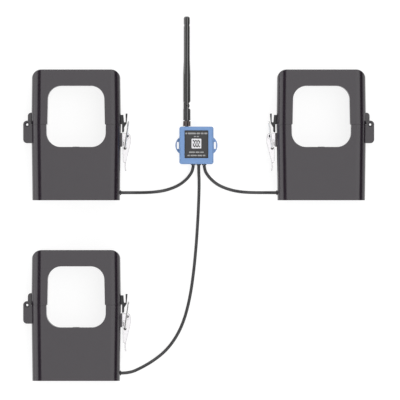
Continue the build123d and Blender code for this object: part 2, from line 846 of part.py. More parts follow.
# Each list runs from the transformer's grommet to the gateway's, with both ends worked out from the exits.
cable_a_middle = [
    (-122.0, 9.9, 27.0),
    (-103.0, 9.9, 19.0),
    (-83.0, 10.5, 8.0),
    (-64.5, 12.6, 2.8),
    (-47.0, 17.0, 2.9),
    (-31.8, 23.8, 3.5),
    (-20.0, 32.6, 5.6),
    (-12.7, 40.6, 8.0),
    (-9.5, 49.2, 9.0),
]
cable_b_middle = [
    (-121.5, -307.0, 27.0),
    (-101.0, -298.0, 17.8),
    (-79.5, -285.6, 7.0),
    (-58.5, -269.0, 2.8),
    (-41.5, -247.5, 2.9),
    (-27.5, -220.0, 2.8),
    (-17.0, -183.0, 2.8),
    (-9.8, -139.0, 2.9),
    (-4.4, -84.0, 2.8),
    (-1.0, -30.0, 2.9),
    (0.5, 8.0, 2.9),
    (0.8, 32.0, 5.2),
    (0.0, 47.0, 9.0),
]
cable_c_middle = [
    (122.0, 9.9, 27.0),
    (103.0, 9.9, 19.0),
    (83.5, 10.4, 8.0),
    (65.0, 12.5, 2.8),
    (47.5, 17.0, 3.0),
    (32.4, 23.5, 3.5),
    (20.6, 32.2, 5.6),
    (12.9, 40.4, 8.0),
    (9.5, 49.0, 9.0),
]


# Gateway

def gateway_section(inset=0.0):
    """The gateway's outline in plan."""
    return RectangleRounded(gateway_width - 2 * inset, gateway_height - 2 * inset, gateway_corner - inset)


def mounting_ear(side):
    """Segment-shaped ear with a slot, on one side of the rear shell."""
    edge = side * gateway_width / 2
    centre = edge + side * (ear_reach - ear_radius)
    ear = Pos(centre, 0) * Circle(ear_radius)
    keep = Pos(edge + side * ear_reach / 2, 0) * Rectangle(ear_reach + 2 * gateway_wall, 2 * ear_radius)
    ear &= keep
    slot = Pos(edge + side * slot_reach, 0) * Rot(0, 0, 90) * SlotOverall(slot_length, slot_width)
    return plate(ear - slot, (0, ear_thickness))


def lead_places():
    """Places of the three cable exits across the gateway, in its own frame."""
    return [phase * lead_pitch - gateway_x for phase in (-1, 0, 1)]


def box_corners(x, y):
    """Four places about the middle of the box."""
    return [(sx * x, sy * y) for sx in (-1, 1) for sy in (-1, 1)]


def box_posts(height, size):
    """A square post at each corner of the box, between two heights."""
    posts = []
    for x, y in box_corners(box_post_x, box_post_y):
        posts.append(standing_block((x, y, height[0]), (size, size, height[1] - height[0])))
    return posts


def gateway_rear():
    """Rear shell: a tray with the mounting ears, the cable exits and the antenna's hole."""
    shell = plate(gateway_section(), (0, gateway_parting))
    back_rim = shell.faces().sort_by(Axis.Z)[0].edges()
    shell = chamfer(back_rim, gateway_back_edge)
    shell -= plate(gateway_section(gateway_wall), (gateway_wall, gateway_parting + overshoot))
    for side in (-1, 1):
        shell += mounting_ear(side)
    shell += box_posts((gateway_wall / 2, box_board_z), box_post)
    half = gateway_height / 2
    for x in lead_places():
        shell -= rod_y(x, lead_z, grommet_neck, (-half - overshoot, -half + 2 * gateway_wall))
    hole = barrel_radius + pin_gap
    shell -= rod_y(antenna_offset, antenna_z, hole, (half - 2 * gateway_wall, half + overshoot))
    for x, y in box_corners(box_post_x, box_post_y):
        shell -= rod_z(x, y, screw_radius + pin_gap, (-overshoot, box_board_z + overshoot))
        shell -= rod_z(x, y, screw_head_radius + head_gap, (-overshoot, head_sink + screw_head_height))
    return shell


def gateway_front():
    """Front shell: a shallow lid with soft edges, a recess for the label and a lip into the rear shell."""
    shell = plate(gateway_section(), (gateway_parting, gateway_depth))
    front_rim = shell.faces().sort_by(Axis.Z)[-1].edges()
    shell = fillet(front_rim, gateway_front_round)
    lip_outer = gateway_wall + joint_gap / 2
    lip_low = gateway_parting - lid_lip_depth
    shell += plate(gateway_section(lip_outer), (lip_low, gateway_parting + overshoot))
    inner = gateway_section(lip_outer + lid_lip)
    shell -= plate(inner, (lip_low - overshoot, gateway_depth - gateway_wall))
    recess = Pos(0, label_rise) * RectangleRounded(label_width, label_height, label_corner)
    shell -= plate(recess, (gateway_depth - label_recess, gateway_depth + overshoot))
    shell += box_posts((board_top + joint_gap, gateway_depth - gateway_wall / 2), box_post)
    for x, y in box_corners(box_post_x, box_post_y):
        shell -= rod_z(x, y, screw_radius + pin_gap, (box_board_z, gateway_depth - 2 * gateway_wall))
    return shell


def label_plate():
    """Black label let into the lid. Its face is bare."""
    size = (label_width - joint_gap, label_height - joint_gap)
    outline = Pos(0, label_rise) * RectangleRounded(*size, label_corner)
    floor = gateway_depth - label_recess
    return plate(outline, (floor, floor + label_thickness))


def circuit_board():
    """Main board: radio module, three cable terminals and a capacitor."""
    board = plate(Rectangle(box_board_width, box_board_height), (box_board_z, board_top))
    for x, y in box_corners(box_post_x, box_post_y):
        board -= rod_z(x, y, screw_radius + head_gap, (box_board_z - overshoot, board_top + overshoot))
    foot = board_top - part_sink
    terminal_y = lead_terminal_inset + (lead_terminal[1] - box_board_height) / 2
    for x in lead_places():
        board += standing_block((x, terminal_y, foot), lead_terminal)
    board += standing_block((*radio_place, foot), radio_size)
    board += standing_block((*capacitor_place, foot), capacitor_size)
    return board


def cell_places():
    """Centre lines of the two cells across the box, in its own frame."""
    return [cell_low_y, cell_low_y + cell_pitch]


def battery_holder():
    """Open tray that clips the two cells above the board."""
    ends = cell_length / 2 + cell_nub / 2 + joint_gap
    first, last = cell_places()
    reach = cell_radius + joint_gap
    y = (first - reach - holder_wall, last + reach + holder_wall)
    tray = block((-ends - holder_wall, ends + holder_wall), y, (board_top, cell_z + holder_rise))
    inside = (y[0] + holder_wall, y[1] - holder_wall)
    return tray - block((-ends, ends), inside, (board_top + holder_floor, gateway_depth))


def battery_cells():
    """Two lithium cells, laid head to tail."""
    cells = []
    half = cell_length / 2
    for y, side in zip(cell_places(), (-1, 1)):
        middle = -side * cell_nub / 2
        nub = sorted((middle + side * half, middle + side * (half + cell_nub)))
        cell = rod_x(y, cell_z, cell_radius, (middle - half, middle + half))
        cells.append(cell + rod_x(y, cell_z, cell_nub_radius, nub))
    return cells


def gateway_grommets():
    """Three rubber grommets where the cables enter the gateway."""
    seat = -gateway_height / 2
    return [Pos(x, seat, lead_z) * Rot(90, 0, 0) * grommet(gateway_wall) for x in lead_places()]


def gateway_screws():
    """Four screws from the back of the rear shell into the lid's posts."""
    places = box_corners(box_post_x, box_post_y)
    return [Pos(x, y, head_sink) * screw(box_screw_length) for x, y in places]


# Antenna, in a frame with its origin on the gateway's wall and y along the antenna

def sma_connector():
    """Bulkhead socket: a flange inside the wall and a threaded barrel outside it."""
    inside = -gateway_wall
    socket = rod_y(0, 0, barrel_radius, (inside - barrel_flange_thickness, barrel_reach))
    flange = RegularPolygon(barrel_flange, 6)
    plane = Plane(origin=(0, inside, 0), x_dir=(1, 0, 0), z_dir=(0, -1, 0))
    socket += extrude(plane * flange, barrel_flange_thickness)
    socket -= rod_y(0, 0, barrel_bore, (barrel_reach - barrel_bore_depth, barrel_reach + overshoot))
    return socket


def antenna_nut():
    """Knurled coupling nut screwed onto the socket."""
    high = nut_start + nut_height
    serrations = []
    for n in range(2 * nut_ridges):
        radius = nut_radius - ridge_depth * (n % 2)
        angle = pi * n / nut_ridges
        serrations.append((radius * cos(angle), radius * sin(angle)))
    plane = Plane(origin=(0, high, 0), x_dir=(1, 0, 0), z_dir=(0, -1, 0))
    nut = extrude(plane * Polygon(*serrations, align=None), nut_height)
    nut -= rod_y(0, 0, barrel_radius + pin_gap, (nut_start - overshoot, barrel_reach + joint_gap))
    return nut - rod_y(0, 0, swivel_neck_radius + 2 * pin_gap, (barrel_reach, high + overshoot))


def notch_side(edge, floor):
    """One slanted side of the notch beside the knuckle, as a region to keep clear of the other piece."""
    slope = (edge - floor) / (antenna_radius - notch_reach)
    reach = 2 * antenna_radius
    outline = Polygon(
        (0, 0),
        (0, floor),
        (notch_reach, floor),
        (reach, floor + slope * (reach - notch_reach)),
        (reach, 0),
        align=None,
    )
    return Pos(0, antenna_pivot) * plate(outline, (-reach, reach))


def antenna_base():
    """Swivel base: a neck held in the nut and a fork for the whip's tongue."""
    top = antenna_pivot + antenna_radius
    reach = 2 * antenna_radius
    base = rod_y(0, 0, antenna_radius, (swivel_start, top))
    base = chamfer(base.faces().sort_by(Axis.Y)[0].edges(), swivel_chamfer)
    base += rod_y(0, 0, swivel_neck_radius, (barrel_reach + joint_gap, swivel_start + overshoot))
    relief = notch_side(*base_notch)
    relief += block((0, reach), (antenna_pivot, top + overshoot), (-reach, reach))
    base -= relief - rod_z(0, antenna_pivot, antenna_knuckle, (-reach, reach))
    slot = tongue_half_depth + joint_gap / 2
    slot_low = antenna_pivot - antenna_knuckle - joint_gap
    base -= block((-reach, reach), (slot_low, top + overshoot), (-slot, slot))
    return base - rod_z(0, antenna_pivot, tilt_pin_radius + pin_gap, (-reach, reach))


def antenna_pin():
    """Pin that the whip tilts on."""
    reach = antenna_radius - tilt_pin_inset
    return rod_z(0, antenna_pivot, tilt_pin_radius, (-reach, reach))


def antenna_whip():
    """Whip: a tongue on the pin and a tapered sleeve with a rounded tip."""
    reach = 2 * antenna_radius
    groove_top = tip_groove + tip_groove_width
    sleeve = Polygon(
        (0, antenna_pivot),
        (antenna_radius, antenna_pivot),
        (antenna_radius, antenna_pivot + taper_rises[0]),
        (upper_radius, antenna_pivot + taper_rises[1]),
        (upper_radius, tip_groove),
        (upper_radius - tip_groove_depth, tip_groove),
        (upper_radius - tip_groove_depth, groove_top),
        (upper_radius, groove_top),
        (upper_radius, antenna_length),
        (0, antenna_length),
        align=None,
    )
    whip = revolve(sleeve, Axis.Y)
    whip = fillet(whip.faces().sort_by(Axis.Y)[-1].edges(), tip_round)
    fork_top = antenna_pivot + antenna_radius + joint_gap
    whip -= block((-reach, 0), (0, fork_top), (-reach, reach))
    whip -= notch_side(*whip_notch)
    whip -= rod_z(0, antenna_pivot, antenna_knuckle + joint_gap, (-reach, reach))
    neck = antenna_knuckle - neck_step
    depth = (-tongue_half_depth, tongue_half_depth)
    tongue = block((-neck, neck), (antenna_pivot, fork_top + overshoot), depth)
    tongue += rod_z(0, antenna_pivot, antenna_knuckle, depth)
    return whip + tongue - rod_z(0, antenna_pivot, tilt_pin_radius + pin_gap, (-reach, reach))


# Writing the nodes

def write(node, shapes, frame=Location()):
    """One STEP file for a node: a single solid, or a group of identical ones."""
    solids = []
    for shape in shapes if isinstance(shapes, list) else [shapes]:
        solids += (frame * shape).solids()
    export_step(solids[0] if len(solids) == 1 else Compound(children=solids), f"parts/{node}.step")


def transformer_pieces():
    """Every piece of one transformer that has a node of its own, in the transformer's frame."""
    jaw_front, jaw_rear = jaw_shells()
    return {
        "base_housing": base_housing(),
        "base_cover": base_cover(),
        "base_core": base_core(),
        "coil": coil(),
        "hinge_pin": hinge_pin(),
        "latch_bracket": latch_bracket(),
        "jaw_front": jaw_front,
        "jaw_rear": jaw_rear,
        "jaw_core": jaw_core(),
        "keeper": keeper(),
        "latch_lever": latch_lever(),
        "latch_link": latch_link(),
    }


def shared_pieces():
    """Small pieces that all three transformers have, which share a node for each kind."""
    return {
        "base_screws": base_screws(),
        "coil_bobbins": [coil_bobbin()],
        "burden_boards": [burden_board()],
        "ct_grommets": [ct_grommet()],
        "latch_rivets": latch_rivets(),
        "lever_pins": [lever_pin()],
    }


def gateway_pieces():
    """Pieces of the gateway box, in its own frame."""
    return {
        "gateway_rear_shell": gateway_rear(),
        "gateway_front_shell": gateway_front(),
        "label_plate": label_plate(),
        "circuit_board": circuit_board(),
        "battery_holder": battery_holder(),
        "battery_cells": battery_cells(),
        "gateway_grommets": gateway_grommets(),
        "gateway_screws": gateway_screws(),
    }


def antenna_pieces():
    """Pieces along the antenna, in its own frame."""
    return {
        "sma_connector": sma_connector(),
        "antenna_nut": antenna_nut(),
        "antenna_base": antenna_base(),
        "antenna_pin": antenna_pin(),
        "antenna_whip": antenna_whip(),
    }


def cable_points(phase, middle):
    """A cable's points from its transformer's grommet to its own grommet on the gateway."""
    start = (phase_frames[phase] * Pos(*ct_exit())).position
    lead = {"a": -1, "b": 0, "c": 1}[phase] * lead_pitch
    end = Vector(lead, gateway_y - gateway_height / 2 - grommet_flange, lead_z)
    return [start] + [Vector(*point) for point in middle] + [end]


os.makedirs("parts", exist_ok=True)
pieces = transformer_pieces()
for phase, frame in phase_frames.items():
    for name, piece in pieces.items():
        write(f"ct_{phase}_{name}", piece, frame)
for name, group in shared_pieces().items():
    write(name, [frame * piece for frame in phase_frames.values() for piece in group])
for name, piece in gateway_pieces().items():
    write(name, piece, gateway_frame)
for name, piece in antenna_pieces().items():
    write(name, piece, antenna_frame)
for phase, middle in (("a", cable_a_middle), ("b", cable_b_middle), ("c", cable_c_middle)):
    write(f"cable_{phase}", cable_tube(f"cable_{phase}", cable_points(phase, middle)))
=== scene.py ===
import math

import bmesh
import bpy
from mathutils import Matrix, Vector


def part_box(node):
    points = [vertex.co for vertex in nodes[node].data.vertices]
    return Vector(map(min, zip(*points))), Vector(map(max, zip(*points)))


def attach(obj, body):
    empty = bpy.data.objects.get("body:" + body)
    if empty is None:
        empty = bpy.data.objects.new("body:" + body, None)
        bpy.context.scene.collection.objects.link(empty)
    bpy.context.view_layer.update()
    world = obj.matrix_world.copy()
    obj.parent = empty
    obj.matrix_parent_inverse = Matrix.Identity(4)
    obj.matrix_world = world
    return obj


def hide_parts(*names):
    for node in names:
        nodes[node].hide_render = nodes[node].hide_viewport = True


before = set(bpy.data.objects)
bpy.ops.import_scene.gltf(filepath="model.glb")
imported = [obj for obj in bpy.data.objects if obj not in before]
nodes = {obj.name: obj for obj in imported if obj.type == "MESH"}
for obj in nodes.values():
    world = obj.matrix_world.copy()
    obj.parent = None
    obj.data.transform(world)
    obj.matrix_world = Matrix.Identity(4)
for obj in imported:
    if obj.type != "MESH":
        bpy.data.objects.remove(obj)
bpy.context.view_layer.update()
scene = bpy.context.scene

# Camera
# A long lens high above the bench, so that the set shows without perspective, square from above. The
# photograph is 400 pixels wide at 1.757 mm a pixel, and its middle lies a little beside the set's origin.
photo_width = 400
pixel = 0.001757
photo_middle = (1.3 * pixel, -1.7 * pixel)
camera_height = 15.0
face_height = 0.027
sensor_width = 36.0
camera = bpy.data.objects.new("camera", bpy.data.cameras.new("camera"))
scene.collection.objects.link(camera)
camera.location = (*photo_middle, camera_height)
camera.data.sensor_width = sensor_width
camera.data.lens = sensor_width * (camera_height - face_height) / (photo_width * pixel)
camera.data.clip_end = 200.0
scene.camera = camera
scene.view_settings.view_transform = "Standard"


# Bench
# A pale floor without an end, a hair below what stands on it and clear from its underside. It lights the
# pieces as white paint does, and is itself seen just white, with only the soft shadows beside them left.
def link(tree, source, target):
    tree.links.new(source, target)


def add(tree, kind, **values):
    """A new node with its properties set."""
    made = tree.nodes.new(kind)
    for name, value in values.items():
        setattr(made, name, value)
    return made


def object_from(shape, name, finish):
    """Turns a finished bmesh into an object of one material and puts it in the scene."""
    data = bpy.data.meshes.new(name)
    shape.to_mesh(data)
    shape.free()
    data.materials.append(finish)
    made = bpy.data.objects.new(name, data)
    scene.collection.objects.link(made)
    return made


floor_radius = 90.0
floor_gap = 0.0002
floor_lights = 0.8
floor_seen = 0.25
floor_glow = 0.83
floor_white = bpy.data.materials.new("bench_white")
floor_white.use_nodes = True
floor_tree = floor_white.node_tree
floor_tree.nodes.clear()
rays = add(floor_tree, "ShaderNodeLightPath")
seen = rays.outputs["Is Camera Ray"]
for kind in ("Is Glossy Ray", "Is Transmission Ray"):
    either = add(floor_tree, "ShaderNodeMath", operation="MAXIMUM")
    link(floor_tree, seen, either.inputs[0])
    link(floor_tree, rays.outputs[kind], either.inputs[1])
    seen = either.outputs[0]
paint = add(floor_tree, "ShaderNodeMix", data_type="RGBA")
link(floor_tree, seen, paint.inputs["Factor"])
paint.inputs["A"].default_value = (floor_lights, floor_lights, floor_lights, 1.0)
paint.inputs["B"].default_value = (floor_seen, floor_seen, floor_seen, 1.0)
matte = add(floor_tree, "ShaderNodeBsdfDiffuse")
link(floor_tree, paint.outputs["Result"], matte.inputs["Color"])
strength = add(floor_tree, "ShaderNodeMath", operation="MULTIPLY")
link(floor_tree, seen, strength.inputs[0])
strength.inputs[1].default_value = floor_glow
glow = add(floor_tree, "ShaderNodeEmission")
glow.inputs["Color"].default_value = (1.0, 1.0, 1.0, 1.0)
link(floor_tree, strength.outputs[0], glow.inputs["Strength"])
both = add(floor_tree, "ShaderNodeAddShader")
link(floor_tree, matte.outputs[0], both.inputs[0])
link(floor_tree, glow.outputs[0], both.inputs[1])
underside = add(floor_tree, "ShaderNodeNewGeometry")
clear = add(floor_tree, "ShaderNodeBsdfTransparent")
one_sided = add(floor_tree, "ShaderNodeMixShader")
link(floor_tree, underside.outputs["Backfacing"], one_sided.inputs["Fac"])
link(floor_tree, both.outputs[0], one_sided.inputs[1])
link(floor_tree, clear.outputs[0], one_sided.inputs[2])
output = add(floor_tree, "ShaderNodeOutputMaterial")
link(floor_tree, one_sided.outputs[0], output.inputs["Surface"])
floor = bmesh.new()
bmesh.ops.create_circle(floor, cap_ends=True, segments=64, radius=floor_radius,
                        matrix=Matrix.Translation((0.0, 0.0, -floor_gap)))
bench = object_from(floor, "bench", floor_white)

# Studio light
# The room itself is the lamp: a soft box overhead that leans to the right, a tall screen on the left, dimmer
# ones before and behind, and a white horizon. The dark gaps draw the narrow line along each housing's left.
room = bpy.data.worlds.new("room")
room.use_nodes = True
scene.world = room
room_tree = room.node_tree
direction = add(room_tree, "ShaderNodeTexCoord")
axes = add(room_tree, "ShaderNodeSeparateXYZ")
link(room_tree, direction.outputs["Generated"], axes.inputs[0])


def lean(axis):
    """How far a direction leans from straight up towards +X or +Y."""
    angle = add(room_tree, "ShaderNodeMath", operation="ARCTAN2")
    link(room_tree, axes.outputs[axis], angle.inputs[0])
    link(room_tree, axes.outputs["Z"], angle.inputs[1])
    return angle.outputs[0]


def mask(value, dark, lit):
    """Goes smoothly from 0 at the dark value to 1 at the lit one, which may be the smaller."""
    ramp = add(room_tree, "ShaderNodeMapRange", interpolation_type="SMOOTHSTEP")
    link(room_tree, value, ramp.inputs["Value"])
    ramp.inputs["From Min"].default_value = dark
    ramp.inputs["From Max"].default_value = lit
    return ramp.outputs["Result"]


def combined(kind, values):
    """All values multiplied together, added up or compared for the largest."""
    total = values[0]
    for value in values[1:]:
        step = add(room_tree, "ShaderNodeMath", operation=kind)
        link(room_tree, total, step.inputs[0])
        if isinstance(value, float):
            step.inputs[1].default_value = value
        else:
            link(room_tree, value, step.inputs[1])
        total = step.outputs[0]
    return total


def lamp(radiance, x_lean, y_lean, softness=3.0):
    """A glowing patch of the room between two leans each way, in degrees from straight up."""
    masks = []
    for axis, limits in (("X", x_lean), ("Y", y_lean)):
        across = lean(axis)
        for edge, outwards in zip(limits, (-1, 1)):
            dark = math.radians(edge + outwards * softness)
            lit = math.radians(edge - outwards * softness)
            masks.append(mask(across, dark, lit))
    return combined("MULTIPLY", masks + [radiance])


soft_box = lamp(radiance=1.73, x_lean=(-7.0, 46.0), y_lean=(-55.0, 60.0))
left_screen = lamp(radiance=1.65, x_lean=(-95.0, -44.0), y_lean=(-80.0, 80.0))
far_screen = lamp(radiance=0.75, x_lean=(-62.0, 62.0), y_lean=(40.0, 80.0), softness=5.0)
near_screen = lamp(radiance=0.75, x_lean=(-62.0, 62.0), y_lean=(-80.0, -40.0), softness=5.0)
horizon = mask(axes.outputs["Z"], dark=0.13, lit=0.06)
dim_room = 0.02
room_light = combined("ADD", [soft_box, left_screen, far_screen, near_screen, horizon, dim_room])
room_rays = add(room_tree, "ShaderNodeLightPath")
room_seen = combined("MAXIMUM", [room_light, room_rays.outputs["Is Camera Ray"]])
background = room_tree.nodes["Background"]
link(room_tree, room_seen, background.inputs["Strength"])
background.inputs["Color"].default_value = (1.0, 1.0, 1.0, 1.0)

# Free cables
# Round leads with a smooth black jacket, 5.5 mm thick. Each leaves its transformer's grommet level, comes
# down to the bench in an easy curve and climbs to its own grommet in the gateway's edge.
cable_width = 0.0055
cable_runs = {
    "cable_a": (0.1554, (
        (-0.136418, 0.0099, 0.027), (-0.122, 0.0099, 0.027), (-0.103, 0.0099, 0.019),
        (-0.083, 0.0105, 0.008), (-0.0645, 0.0126, 0.0028), (-0.0477, 0.0172, 0.0029),
        (-0.0331, 0.024, 0.0035), (-0.0221, 0.0328, 0.0056), (-0.0153, 0.0409, 0.008),
        (-0.0106, 0.0493, 0.009), (-0.0095, 0.0582, 0.009))),
    "cable_b": (0.4318, (
        (-0.136418, -0.307, 0.027), (-0.1215, -0.307, 0.027), (-0.101, -0.298, 0.0178),
        (-0.0795, -0.2856, 0.007), (-0.0585, -0.269, 0.0028), (-0.0415, -0.2475, 0.0029),
        (-0.0275, -0.22, 0.0028), (-0.017, -0.183, 0.0028), (-0.0098, -0.139, 0.0029),
        (-0.0044, -0.084, 0.0028), (-0.001, -0.03, 0.0029), (0.0005, 0.008, 0.0029),
        (0.0008, 0.032, 0.0052), (0.0, 0.047, 0.009), (0.0, 0.0582, 0.009))),
    "cable_c": (0.1553, (
        (0.136418, 0.0099, 0.027), (0.122, 0.0099, 0.027), (0.103, 0.0099, 0.019),
        (0.0835, 0.0104, 0.008), (0.065, 0.0125, 0.0028), (0.0481, 0.0172, 0.003),
        (0.0335, 0.0237, 0.0035), (0.0226, 0.0325, 0.0056), (0.0155, 0.0408, 0.008),
        (0.0106, 0.0493, 0.009), (0.0095, 0.0582, 0.009))),
}


def material(name, colour, roughness, metallic=0.0):
    """A new material with its plain values set, as the material, its node tree and its shader."""
    made = bpy.data.materials.new(name)
    made.use_nodes = True
    shader = made.node_tree.nodes["Principled BSDF"]
    shader.inputs["Base Color"].default_value = (*colour, 1.0)
    shader.inputs["Roughness"].default_value = roughness
    shader.inputs["Metallic"].default_value = metallic
    return made, made.node_tree, shader


def effect(name, inputs, outputs):
    """A new group for an effect that several materials use, with its named sockets."""
    group = bpy.data.node_groups.new(name, "ShaderNodeTree")
    for label, kind, value in inputs:
        socket = group.interface.new_socket(label, in_out="INPUT", socket_type=kind)
        socket.default_value = value
    for label, kind in outputs:
        group.interface.new_socket(label, in_out="OUTPUT", socket_type=kind)
    return group, add(group, "NodeGroupInput"), add(group, "NodeGroupOutput")


def scaled_noise(tree, scale, detail, stretch=(1.0, 1.0, 1.0)):
    """Noise on the object's own coordinates, in features per metre, drawn out along an axis if asked."""
    place = add(tree, "ShaderNodeTexCoord")
    drawn = add(tree, "ShaderNodeMapping")
    drawn.inputs["Scale"].default_value = stretch
    link(tree, place.outputs["Object"], drawn.inputs["Vector"])
    noise = add(tree, "ShaderNodeTexNoise")
    noise.inputs["Scale"].default_value = scale
    noise.inputs["Detail"].default_value = detail
    link(tree, drawn.outputs["Vector"], noise.inputs["Vector"])
    return noise


# moulding grain: fine spark-eroded texture with slow patches of tone and gloss
grain, grain_in, grain_out = effect(
    "moulding_grain",
    [("Colour", "NodeSocketColor", (0.5, 0.5, 0.5, 1.0)), ("Roughness", "NodeSocketFloat", 0.4),
     ("Variation", "NodeSocketFloat", 0.1)],
    [("Colour", "NodeSocketColor"), ("Roughness", "NodeSocketFloat"), ("Height", "NodeSocketFloat")])
fine = scaled_noise(grain, scale=2600.0, detail=2.0)
slow = scaled_noise(grain, scale=45.0, detail=4.0)
centred = add(grain, "ShaderNodeMapRange")
centred.inputs["To Min"].default_value = -1.0
link(grain, slow.outputs["Fac"], centred.inputs["Value"])
swing = add(grain, "ShaderNodeMath", operation="MULTIPLY")
link(grain, centred.outputs["Result"], swing.inputs[0])
link(grain, grain_in.outputs["Variation"], swing.inputs[1])
rough = add(grain, "ShaderNodeMath", operation="ADD")
link(grain, swing.outputs[0], rough.inputs[0])
link(grain, grain_in.outputs["Roughness"], rough.inputs[1])
link(grain, rough.outputs[0], grain_out.inputs["Roughness"])
brightness = add(grain, "ShaderNodeMath", operation="ADD")
link(grain, swing.outputs[0], brightness.inputs[0])
brightness.inputs[1].default_value = 1.0
tone = add(grain, "ShaderNodeHueSaturation")
link(grain, brightness.outputs[0], tone.inputs["Value"])
link(grain, grain_in.outputs["Colour"], tone.inputs["Color"])
link(grain, tone.outputs["Color"], grain_out.inputs["Colour"])
link(grain, fine.outputs["Fac"], grain_out.inputs["Height"])


def moulded(name, colour, roughness, variation=0.06, relief=0.00001):
    """A moulded finish, with grain in its colour, gloss and relief."""
    made, tree, shader = material(name, colour, roughness)
    surface = add(tree, "ShaderNodeGroup", node_tree=grain)
    surface.inputs["Colour"].default_value = (*colour, 1.0)
    surface.inputs["Roughness"].default_value = roughness
    surface.inputs["Variation"].default_value = variation
    link(tree, surface.outputs["Colour"], shader.inputs["Base Color"])
    link(tree, surface.outputs["Roughness"], shader.inputs["Roughness"])
    bump = add(tree, "ShaderNodeBump")
    bump.inputs["Distance"].default_value = relief
    link(tree, surface.outputs["Height"], bump.inputs["Height"])
    link(tree, bump.outputs["Normal"], shader.inputs["Normal"])
    return made


jacket = moulded("cable_jacket", (0.03, 0.029, 0.031), 0.34, variation=0.08, relief=0.000006)
for name, (length, route) in cable_runs.items():
    curve = bpy.data.curves.new(f"{name}_lead", "CURVE")
    curve.dimensions = "3D"
    spline = curve.splines.new("NURBS")
    spline.points.add(len(route) - 1)
    for point, place in zip(spline.points, route):
        point.co = (*place, 1.0)
    spline.order_u = 3
    spline.use_endpoint_u = True
    curve.resolution_u = 12
    curve.bevel_depth = cable_width / 2
    curve.bevel_resolution = 5
    curve.use_fill_caps = True
    lead = bpy.data.objects.new(f"{name}_lead", curve)
    scene.collection.objects.link(lead)
    curve.materials.append(jacket)
    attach(lead, "root")
    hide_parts(name)


# Transformer housings
# Base and jaw are moulded in the same flame-proof plastic, dark grey with a satin skin, with a painted
# highlight that makes it a little paler along its edges.
def dress(names, finish):
    """Gives CAD nodes their finish."""
    for name in names:
        for slot in nodes[name].material_slots:
            slot.material = finish


# painted edge light: lighter or darker colour where the surface turns sharply, broken up so that it comes and
# goes
turn_starts, turn_full = 0.995, 0.90
paint_breakup_start, paint_breakup_full = 0.42, 0.62
edge_paint, edge_paint_in, edge_paint_out = effect(
    "edge_light_paint", [("Width", "NodeSocketFloat", 0.0005), ("Breakup", "NodeSocketFloat", 1.0)],
    [("Mask", "NodeSocketFloat")])
rounded = add(edge_paint, "ShaderNodeBevel", samples=6)
link(edge_paint, edge_paint_in.outputs["Width"], rounded.inputs["Radius"])
flat = add(edge_paint, "ShaderNodeNewGeometry")
alike = add(edge_paint, "ShaderNodeVectorMath", operation="DOT_PRODUCT")
link(edge_paint, rounded.outputs["Normal"], alike.inputs[0])
link(edge_paint, flat.outputs["Normal"], alike.inputs[1])
edge_ramp = add(edge_paint, "ShaderNodeMapRange")
edge_ramp.inputs["From Min"].default_value = turn_starts
edge_ramp.inputs["From Max"].default_value = turn_full
link(edge_paint, alike.outputs["Value"], edge_ramp.inputs["Value"])
broken = scaled_noise(edge_paint, scale=220.0, detail=5.0)
paint_breakup = add(edge_paint, "ShaderNodeMapRange")
paint_breakup.inputs["From Min"].default_value = paint_breakup_start
paint_breakup.inputs["From Max"].default_value = paint_breakup_full
link(edge_paint, broken.outputs["Fac"], paint_breakup.inputs["Value"])
coverage = add(edge_paint, "ShaderNodeMix", data_type="FLOAT")
link(edge_paint, edge_paint_in.outputs["Breakup"], coverage.inputs["Factor"])
coverage.inputs["A"].default_value = 1.0
link(edge_paint, paint_breakup.outputs["Result"], coverage.inputs["B"])
edge_paint_mask = add(edge_paint, "ShaderNodeMath", operation="MULTIPLY")
link(edge_paint, edge_ramp.outputs["Result"], edge_paint_mask.inputs[0])
link(edge_paint, coverage.outputs["Result"], edge_paint_mask.inputs[1])
link(edge_paint, edge_paint_mask.outputs[0], edge_paint_out.inputs["Mask"])


def paint_edge_light(finish, colour, width=0.0005, breakup=1.0):
    """Paints a finish another colour along its edges: lighter as painted highlight, darker as painted shade.
    """
    tree = finish.node_tree
    base_colour = tree.nodes["Principled BSDF"].inputs["Base Color"]
    edges = add(tree, "ShaderNodeGroup", node_tree=edge_paint)
    edges.inputs["Width"].default_value = width
    edges.inputs["Breakup"].default_value = breakup
    edge_painted = add(tree, "ShaderNodeMix", data_type="RGBA")
    link(tree, edges.outputs["Mask"], edge_painted.inputs["Factor"])
    link(tree, base_colour.links[0].from_socket, edge_painted.inputs["A"])
    edge_painted.inputs["B"].default_value = (*colour, 1.0)
    link(tree, edge_painted.outputs["Result"], base_colour)


phases = ("a", "b", "c")
housing = moulded("housing_plastic", (0.017, 0.0115, 0.0175), 0.22, variation=0.02, relief=0.000002)
housing.node_tree.nodes["Principled BSDF"].inputs["IOR"].default_value = 1.6
# painted highlight: the housings a little paler along their edges
paint_edge_light(housing, (0.03, 0.026, 0.03), width=0.0006)
dress([f"ct_{phase}_{part}" for phase in phases for part in ("base_housing", "jaw_front", "jaw_rear")],
      housing)

# Feet
# The plate that closes each base from below, held by two screws. It is moulded apart from the body, with a
# duller skin. It is coloured a little darker than the body as painted shade along the foot, and its edges
# are a painted highlight.
# painted shade: the foot plate a little darker than the housing
foot = moulded("foot_plastic", (0.014, 0.01, 0.0145), 0.42, variation=0.03, relief=0.000004)
# painted highlight: paler along its edges
paint_edge_light(foot, (0.03, 0.026, 0.03))
dress([f"ct_{phase}_base_cover" for phase in phases], foot)

# Keepers
# The hook on each jaw that the latch wire pulls on, moulded in a harder, blacker plastic.
keeper = moulded("keeper_plastic", (0.012, 0.012, 0.013), 0.4, variation=0.05, relief=0.000004)
# painted highlight: the keepers, and the pieces that share their plastic, paler along the edges
paint_edge_light(keeper, (0.04, 0.04, 0.042))
dress([f"ct_{phase}_keeper" for phase in phases], keeper)

